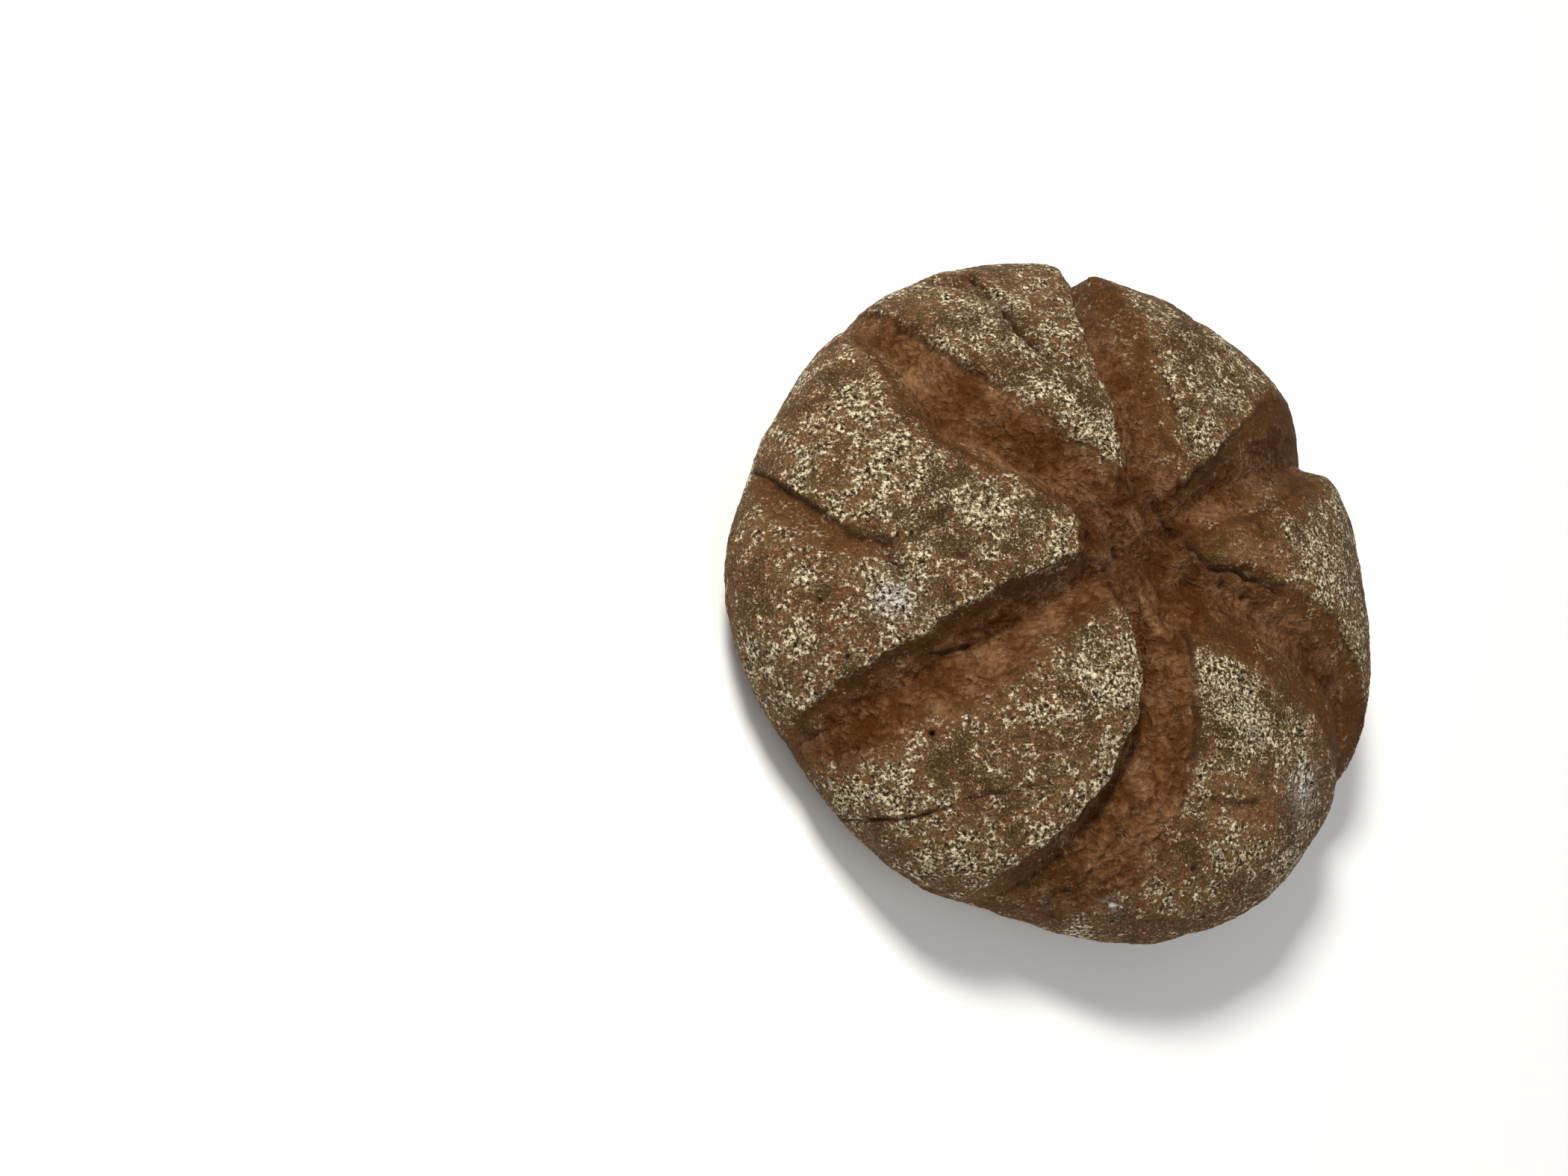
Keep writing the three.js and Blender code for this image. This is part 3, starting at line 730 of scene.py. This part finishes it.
def loaf_mesh():
    """The whole loaf, and how far its plan was moved to lie where the frame has it."""
    skin, masks = crust_skin()
    under = underside()
    points = np.vstack([skin, under])
    for name, under_value in UNDER_MASKS.items():
        masks[name] = np.concatenate([masks[name], np.full(len(under), under_value)])

    middle = (points.min(0) + points.max(0)) / 2.0
    frame_middle = [(low + high) / 2.0 / MM for low, high in zip(loaf_low, loaf_high)]
    shift = np.array([frame_middle[0] - middle[0], frame_middle[1] - middle[1], loaf_low[2] / MM])

    first_under = len(skin)
    under_faces = grid_faces(UNDER_CELLS, first_under)[:, ::-1]
    joins = joining_faces(grid_rim(CELLS), grid_rim(UNDER_CELLS, first_under))
    mesh = mesh_of((points + shift) * MM, [grid_faces(CELLS), under_faces, joins], masks)
    return mesh, shift


# ---------------------------------------------------------------- the finish
class Value:
    """A number that varies over the surface, used in ordinary arithmetic."""

    def __init__(self, finish, socket):
        self.finish = finish
        self.socket = socket

    def math(self, operation, *parts):
        return self.finish.add("ShaderNodeMath", {"operation": operation}, dict(enumerate(parts)))

    def __add__(self, other):
        return self.math("ADD", self, other)

    def __sub__(self, other):
        return self.math("SUBTRACT", self, other)

    def __rsub__(self, other):
        return self.math("SUBTRACT", other, self)

    def __mul__(self, other):
        return self.math("MULTIPLY", self, other)

    def __abs__(self):
        return self.math("ABSOLUTE", self)

    __radd__ = __add__
    __rmul__ = __mul__

    def step(self, start, end):
        """0 below start and 1 above end, eased between."""
        return self.finish.add("ShaderNodeMapRange", {"interpolation_type": "SMOOTHSTEP"},
                               {"Value": self, "From Min": start, "From Max": end})


class Finish:
    """A material being put together."""

    def __init__(self, name):
        self.material = bpy.data.materials.new(name)
        self.material.use_nodes = True
        self.tree = self.material.node_tree
        self.shader = self.tree.nodes["Principled BSDF"]

    def plug(self, value, socket):
        if isinstance(value, Value):
            self.tree.links.new(value.socket, socket)
        else:
            socket.default_value = value

    def add(self, kind, settings, sockets, output=0):
        """A node of one kind: its settings, then a value or a link for each socket named."""
        node = self.tree.nodes.new(kind)
        for name, setting in settings.items():
            setattr(node, name, setting)
        for name, value in sockets.items():
            self.plug(value, node.inputs[name])
        return Value(self, node.outputs[output])

    def mix(self, amount, under, over):
        """One colour laid over another; the colours have sockets 6 and 7 and output 2."""
        return self.add("ShaderNodeMix", {"data_type": "RGBA"}, {0: amount, 6: under, 7: over}, 2)

    def mask(self, name):
        return self.add("ShaderNodeAttribute", {"attribute_name": name}, {}, "Fac")

    def grain(self, place, size, detail=2.0, roughness=0.5, output="Fac"):
        """Cloudy noise with features about `size` millimetres across, about 0 to 1."""
        return self.add("ShaderNodeTexNoise", {}, {"Vector": place, "Scale": 1.0 / (size * MM),
                                                   "Detail": detail, "Roughness": roughness}, output)

    def pulled(self, place, cloud, reach):
        """The place pulled about by a cloudy colour, by up to `reach` millimetres."""
        return self.add("ShaderNodeVectorMath", {"operation": "MULTIPLY_ADD"},
                        {0: cloud, 1: (reach * MM,) * 3, 2: place})


def tint(red, green, blue):
    """A colour written as on a screen, 0 to 255, as the light it gives back."""
    def linear(level):
        level = level / 255.0
        return level / 12.92 if level <= 0.04045 else ((level + 0.055) / 1.055) ** 2.4
    return (linear(red), linear(green), linear(blue), 1.0)


# Painted shade between flour clots and along hair-thin creases
GAP_PAINTED_SHADE = tint(26, 15, 5)
OLIVE_CRUST = tint(84, 62, 32)
BROWN_CRUST = tint(132, 96, 60)
RED_CRUST = tint(142, 84, 56)
BARE_CRUST = tint(88, 52, 16)
# Painted shade for crevices, creases and pits
CRACK_PAINTED_SHADE = tint(36, 18, 7)
FLOUR_THIN = tint(166, 140, 104)
FLOUR_VEIL = tint(140, 126, 96)
FLOUR_CREAM = tint(250, 238, 202)
FLOUR_COOL = tint(228, 228, 224)
FILM_COOL = tint(160, 151, 138)
# Painted shade for the crumb's hollows and creases
CRUMB_PAINTED_SHADE = tint(38, 17, 2)
CRUMB_BROWN = tint(70, 38, 7)
CRUMB_LIGHT = tint(141, 102, 70)

# What each mask is on the underside, which has no cuts and an even dusting
UNDER_MASKS = dict(crumb=0.0, hollow=0.0, crack=0.0, bare=0.0, lump=0.5, cool=0.0, flour=0.55, low=1.0)

BUMP_DEPTH = 1.3           # millimetres
SHINE = 0.08               # how much the crust reflects; 0.5 is usual
FLOUR_LEVEL = 0.628        # a clot of flour clings where the grain is higher than this
FLOUR_LEVEL_FALL = 0.122   # and this much lower where the flour lies thick
# How strongly each layer of colour covers those under it, where it is at its fullest. The layers for
# hollows, creases, hair-thin creases and cracks are painted shade, and the loose flecks on the crumb
# are flour that also stands in for painted glints.
COVER = SimpleNamespace(
    ruddy=0.5, olive=0.5, bare=0.85, veil=0.3, film=0.7, cool=0.8, dust=0.95,
    hollow=0.85, crease_shade=0.45, flecks_and_glints=0.5, hairline_shade=0.5, crack=0.85, low=0.2)


def surface_grains(finish):
    """The grains that the whole crust is coloured and roughened by."""
    place = finish.add("ShaderNodeTexCoord", {}, {}, "Object")
    # each grain has a size in millimetres, and some a detail and a roughness
    broad = finish.grain(place, 17.0)
    patchy = finish.grain(place, 5.5)
    # the finer grains are pulled about a little, so that clots come out ragged
    ragged = finish.pulled(place, finish.grain(place, 1.5, output="Color"), 1.0)
    bent = finish.pulled(ragged, finish.grain(place, 6.0, 1.0, output="Color"), 9.0)
    small_clots = finish.grain(ragged, 0.8, 4.0, 0.74)
    big_clots = finish.grain(ragged, 1.25, 4.0, 0.76)
    big_here = (patchy + broad - 1.0).step(-0.1, 0.1)
    return SimpleNamespace(
        broad=broad,
        patchy=patchy,
        middling=finish.grain(place, 2.2, 3.0, 0.6),
        clots=small_clots + (big_clots - small_clots) * big_here,
        fine=finish.grain(place, 0.45, 2.0, 0.6),
        # wrinkles: plump plates between sharp creases, at two sizes
        plate=abs(finish.grain(bent, 4.6, 1.0, 0.35) - 0.5),
        wrinkle=abs(finish.grain(ragged, 2.0, 1.0) - 0.5))


def painted_hairline_shade(grain):
    """Painted shade along hair-thin creases of the bump, in patches."""
    here = (grain.patchy + grain.broad * 0.5).step(0.7, 0.84)
    return (1.0 - grain.wrinkle.step(0.003, 0.022)) * here


def flour_layers(grain, mask):
    """Flour clings in clots; where it lies thick, painted shade darkens the crust between them."""
    skin = 1.0 - mask.crumb
    cover = (mask.flour + (grain.patchy - 0.5) * 2.4 + (grain.broad - 0.5) * 2.2
             + (grain.middling - 0.5) * 3.0)
    thick = cover.step(-0.1, 1.1)
    clot = grain.clots + (grain.wrinkle - 0.06) * 0.3 - (FLOUR_LEVEL - thick * FLOUR_LEVEL_FALL)
    # torn crumb stays clean, but for the heaviest dustings
    clean = mask.crumb * (1.0 - (mask.flour - 0.8).step(0.0, 0.5) * 0.8)
    specks = (grain.fine + grain.clots * 0.5 - 0.82).step(0.0, 0.07) * (1.0 - thick) * 0.55
    dust = (clot.step(-0.02, 0.08) + specks * skin) * (1.0 - clean * 0.97) * (1.0 - mask.bare * 0.7)
    return SimpleNamespace(
        thick=thick,
        clot=clot,
        dust=dust,
        thin=clot.step(-0.12, 0.02) * (thick * 0.55 + 0.15) * skin,
        # painted shade between the clots, in the dips of the bump
        gap=(0.51 - grain.clots).step(-0.02, 0.07) * (thick * 0.75 + 0.25),
        veil=(thick + grain.patchy * 0.5 - 0.3).step(0.0, 1.0) * (1.0 - mask.bare))


def lobe_colour(finish, grain, mask, flour):
    """Baked crust, olive to red-brown, under its flour."""
    tone = (grain.broad + grain.middling * 0.8 + grain.patchy * 0.4 - 0.6).step(0.25, 0.6)
    ruddy = (grain.patchy + grain.fine * 0.3).step(0.58, 0.76)
    crust = finish.mix(tone, OLIVE_CRUST, BROWN_CRUST)
    crust = finish.mix(ruddy * COVER.ruddy, crust, RED_CRUST)
    crust = finish.mix(flour.thick * COVER.olive, crust, OLIVE_CRUST)
    crust = finish.mix(mask.bare * COVER.bare, crust, BARE_CRUST)
    crust = finish.mix(flour.veil * COVER.veil, crust, FLOUR_VEIL)
    # painted shade between the flour clots
    crust = finish.mix(flour.gap * (1.0 - mask.bare * 0.6), crust, GAP_PAINTED_SHADE)
    # painted shade along hair-thin creases
    crust = finish.mix(painted_hairline_shade(grain) * (COVER.hairline_shade - mask.bare * 0.3), crust, GAP_PAINTED_SHADE)
    crust = finish.mix(flour.thin * (0.6 - mask.bare * 0.4), crust, FLOUR_THIN)
    film = mask.cool * (grain.clots + grain.wrinkle * 2.0 - 0.1).step(0.42, 0.6)
    crust = finish.mix(film * COVER.film, crust, FILM_COOL)
    heaped = (flour.clot + grain.fine * 0.15).step(0.04, 0.17)
    dust_colour = finish.mix(heaped, FLOUR_THIN, FLOUR_CREAM)
    dust_colour = finish.mix(mask.cool * COVER.cool, dust_colour, FLOUR_COOL)
    return finish.mix(flour.dust * COVER.dust, crust, dust_colour)


def crumb_colour(finish, grain, mask, flour):
    """Torn crumb: its tone varies at random, with painted light on raised plates and painted shade in
    the hollows, in the creases and between the plates.
    """
    # tone that varies at random, with painted light and shade from the height of the torn crumb and its
    # plates
    tone_and_painted_light = (mask.lump * 0.6 + grain.middling * 0.6 + grain.plate * 0.8 + grain.clots * 0.3
            + grain.broad - 1.12).step(-0.25, 0.75)
    cracked = (grain.middling + grain.patchy * 0.6).step(0.74, 0.86)
    # painted shade along the creases between the crumb's plates, where the bump dips too
    crease_shade = (1.0 - grain.plate.step(0.003, 0.018)) * cracked
    # loose flecks of flour on the crumb, which also stand in for painted glints
    flecks_and_glints = (grain.clots - 0.66).step(0.0, 0.05) * (grain.middling + 0.1).step(0.5, 0.8)
    torn = finish.mix(tone_and_painted_light, CRUMB_BROWN, CRUMB_LIGHT)
    # painted shade in the hollows
    torn = finish.mix(mask.hollow * COVER.hollow, torn, CRUMB_PAINTED_SHADE)
    torn = finish.mix(crease_shade * COVER.crease_shade, torn, CRUMB_PAINTED_SHADE)
    torn = finish.mix(flecks_and_glints * COVER.flecks_and_glints, torn, FLOUR_THIN)
    # painted shade along hair-thin creases
    torn = finish.mix(painted_hairline_shade(grain) * COVER.hairline_shade, torn, CRUMB_PAINTED_SHADE)
    return finish.mix(flour.dust * mask.crumb, torn, FLOUR_CREAM)


def crust_finish():
    finish = Finish("floured_crust")
    grain = surface_grains(finish)
    mask = SimpleNamespace(**{name: finish.mask(name) for name in UNDER_MASKS})
    flour = flour_layers(grain, mask)
    colour = finish.mix(mask.crumb, lobe_colour(finish, grain, mask, flour),
                        crumb_colour(finish, grain, mask, flour))
    # painted shade in the crevices, creases and pits
    colour = finish.mix(mask.crack * COVER.crack, colour, CRACK_PAINTED_SHADE)
    colour = finish.mix(mask.low * COVER.low, colour, BROWN_CRUST)
    finish.plug(colour, finish.shader.inputs["Base Color"])

    finish.plug(0.62 + mask.crumb * 0.1 + grain.fine * 0.2, finish.shader.inputs["Roughness"])
    finish.plug(SHINE, finish.shader.inputs["Specular IOR Level"])

    grit = grain.fine * 0.25 + grain.clots * (1.4 - mask.crumb * 1.15)
    folds = grain.plate.step(0.0, 0.10) * 0.5 + grain.wrinkle * 1.2 + grain.middling * 0.5
    height = grit + folds * (0.55 - mask.crumb * 0.1) + mask.crumb * grain.middling * 1.2
    bump = finish.add("ShaderNodeBump", {}, {"Distance": BUMP_DEPTH * MM, "Height": height})
    finish.plug(bump, finish.shader.inputs["Normal"])
    return finish.material


def plain_finish(name, colour, roughness):
    finish = Finish(name)
    finish.plug(colour, finish.shader.inputs["Base Color"])
    finish.plug(roughness, finish.shader.inputs["Roughness"])
    return finish.material


# ---------------------------------------------------------------- the scene
def link(item):
    bpy.context.scene.collection.objects.link(item)
    return item


def add_loaf():
    mesh, shift = loaf_mesh()
    mesh.materials.append(crust_finish())
    loaf = link(bpy.data.objects.new("loaf_crust", mesh))
    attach(loaf, "root")
    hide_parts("loaf")
    return shift


FLOOR_HALF = 3.0
FLOOR_COLOUR = (0.82, 0.815, 0.8, 1.0)
FLOOR_ROUGHNESS = 0.7


def add_floor():
    half = FLOOR_HALF
    mesh = bpy.data.meshes.new("floor")
    corners = [(-half, -half, 0.0), (half, -half, 0.0), (half, half, 0.0), (-half, half, 0.0)]
    mesh.from_pydata(corners, [], [(0, 1, 2, 3)])
    mesh.materials.append(plain_finish("pale_floor", FLOOR_COLOUR, FLOOR_ROUGHNESS))
    link(bpy.data.objects.new("floor", mesh))


CAMERA_TILT = math.radians(35.7)       # how far the view leans away from straight down
CAMERA_BEARING = math.radians(33.0)    # which side of the loaf it leans towards
CAMERA_AWAY = 0.720
CAMERA_LENS = 50.0
CAMERA_SENSOR = 36.0
AIM_HEIGHT = 31.0                      # the place on the loaf's axis that is lined up
AIM_RIGHT = 0.1848                     # where it falls right of the frame's middle, in frame widths
AIM_UP = 0.0031                        # and above it


def add_camera(shift):
    """The loaf sits right of the frame's middle, and the view leans in from its front left."""
    tilt = CAMERA_TILT
    bearing = CAMERA_BEARING
    to_camera = Vector((-math.sin(tilt) * math.cos(bearing), -math.sin(tilt) * math.sin(bearing),
                        math.cos(tilt)))
    up = Vector((0.0, 0.0, 1.0))
    high = (up - up.dot(to_camera) * to_camera).normalized()
    level = Vector((-math.sin(bearing), math.cos(bearing), 0.0))
    right = math.cos(bearing) * high - math.sin(bearing) * level
    above = math.sin(bearing) * high + math.cos(bearing) * level
    facing = Matrix((right, above, to_camera)).transposed().to_quaternion()
    aim = Vector((AIM_RIGHT, AIM_UP, -CAMERA_LENS / CAMERA_SENSOR)).normalized()
    data = bpy.data.cameras.new("camera")
    data.lens = CAMERA_LENS
    data.sensor_width = CAMERA_SENSOR
    data.clip_start = 0.01
    camera = link(bpy.data.objects.new("camera", data))
    camera.rotation_mode = "QUATERNION"
    camera.rotation_quaternion = facing @ aim.rotation_difference(Vector((0.0, 0.0, -1.0)))
    target = Vector((float(shift[0]), float(shift[1]), AIM_HEIGHT)) * MM
    camera.location = target + CAMERA_AWAY * to_camera
    bpy.context.scene.camera = camera


def add_light(name, place, size, energy, colour):
    data = bpy.data.lights.new(name, "AREA")
    data.size = size
    data.energy = energy
    data.color = colour
    light = link(bpy.data.objects.new(name, data))
    light.location = place
    light.rotation_mode = "QUATERNION"
    light.rotation_quaternion = (-Vector(place)).to_track_quat("-Z", "Y")


# Soft studio light, aimed at the loaf's middle
WINDOW = dict(place=(-0.5, 0.6, 1.05), size=0.28, energy=20.5, colour=(1.0, 0.98, 0.95))
FILL = dict(place=(0.2, -0.95, 0.95), size=1.2, energy=7.0, colour=(1.0, 1.0, 1.0))
SURROUND = 0.3


def add_lights():
    add_light("window", **WINDOW)
    add_light("fill", **FILL)
    world = bpy.data.worlds.new("studio")
    world.use_nodes = True
    background = world.node_tree.nodes["Background"]
    background.inputs["Color"].default_value = (1.0, 1.0, 1.0, 1.0)
    background.inputs["Strength"].default_value = SURROUND
    bpy.context.scene.world = world


plan_shift = add_loaf()
add_floor()
add_camera(plan_shift)
add_lights()
bpy.context.scene.view_settings.view_transform = "Standard"
